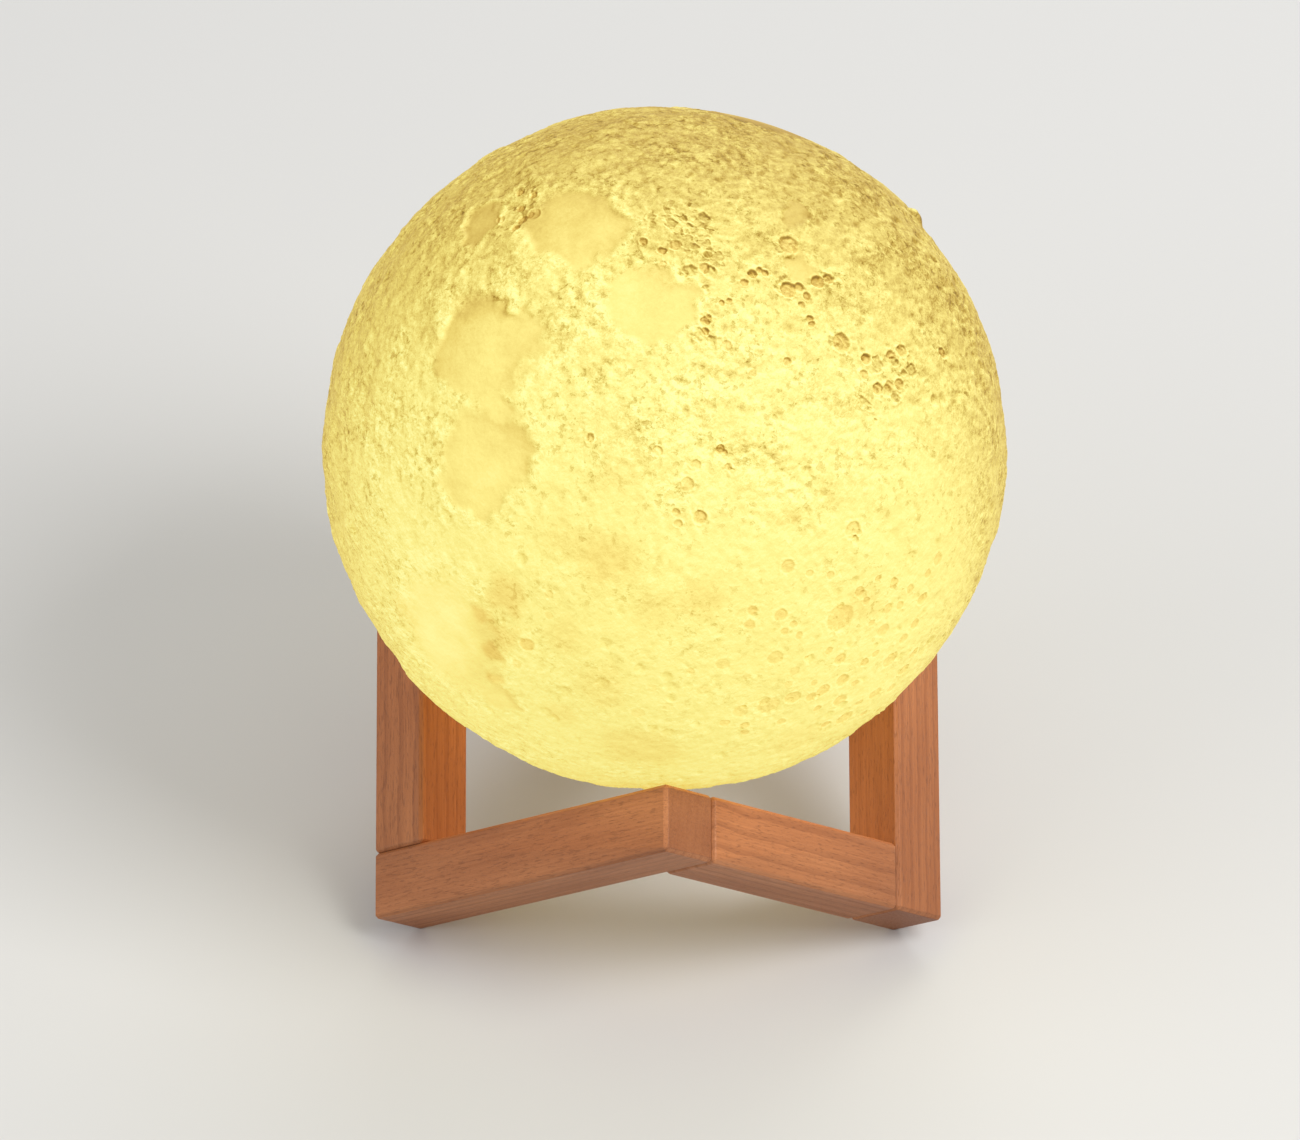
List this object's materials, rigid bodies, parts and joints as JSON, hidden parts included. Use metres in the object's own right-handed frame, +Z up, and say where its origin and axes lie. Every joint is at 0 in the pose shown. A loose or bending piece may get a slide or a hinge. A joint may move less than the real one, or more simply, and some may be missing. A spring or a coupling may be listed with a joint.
{
  "type": "moon lamp",
  "caption": "Lit moon globe with cratered skin resting on a zigzag ring cradle of square beech bars, with a push button and charging socket underneath.",
  "frame": {"origin": "on the floor, under the centre of the globe", "axes": "+Z up through the globe, -Y towards the front corner of the cradle, +X to the right seen from the front"},
  "size_m": [0.1498, 0.15, 0.1871],
  "materials": {
    "moon_shell": "matt, printed, lit from inside",
    "beech": "oiled, satin",
    "peg_wood": "bare",
    "housing": "fine texture",
    "cover": "fine texture",
    "button": "satin",
    "screw_steel": "zinc plated",
    "black_plastic": "moulded",
    "switch_stem": "moulded",
    "contact": "plated",
    "light_pipe": "clear",
    "charge_lamp": "clear red",
    "board": "solder mask",
    "light_board": "white solder mask",
    "chips": "moulded",
    "led": "phosphor",
    "battery": "foil pouch",
    "foam": "foam",
    "connector": "moulded",
    "lead": "insulated"
  },
  "bodies": {
    "stand": {"long_bar_left": "beech", "long_bar_right": "beech", "long_bar_back": "beech", "short_bar_front": "beech", "short_bar_right": "beech", "short_bar_left": "beech", "stand_pegs": "peg_wood"},
    "globe": {"moon_shell": "moon_shell", "engine_housing": "housing", "base_cover": "cover", "cover_screws": "screw_steel", "switch_body": "black_plastic", "charge_socket": "black_plastic", "socket_pin": "contact", "charge_light_pipe": "light_pipe", "charge_led": "charge_lamp", "main_board": "board", "board_chips": "chips", "battery_cell": "battery", "battery_pad": "foam", "battery_connector": "connector", "battery_lead": "lead", "led_board": "light_board", "leds": "led", "led_lead": "lead"},
    "button": {"power_button": "button", "switch_plunger": "switch_stem"}
  },
  "joints": [
    {"name": "globe_lift", "type": "slide", "parent": "stand", "child": "globe", "axis": [0, 0, 1], "range_m": [0, 0.08]},
    {"name": "button_press", "type": "slide", "parent": "globe", "child": "button", "axis": [0, 0, 1], "range_m": [0, 0.0012], "stiffness_N_per_m": 800, "springref_m": -0.0008}
  ]
}
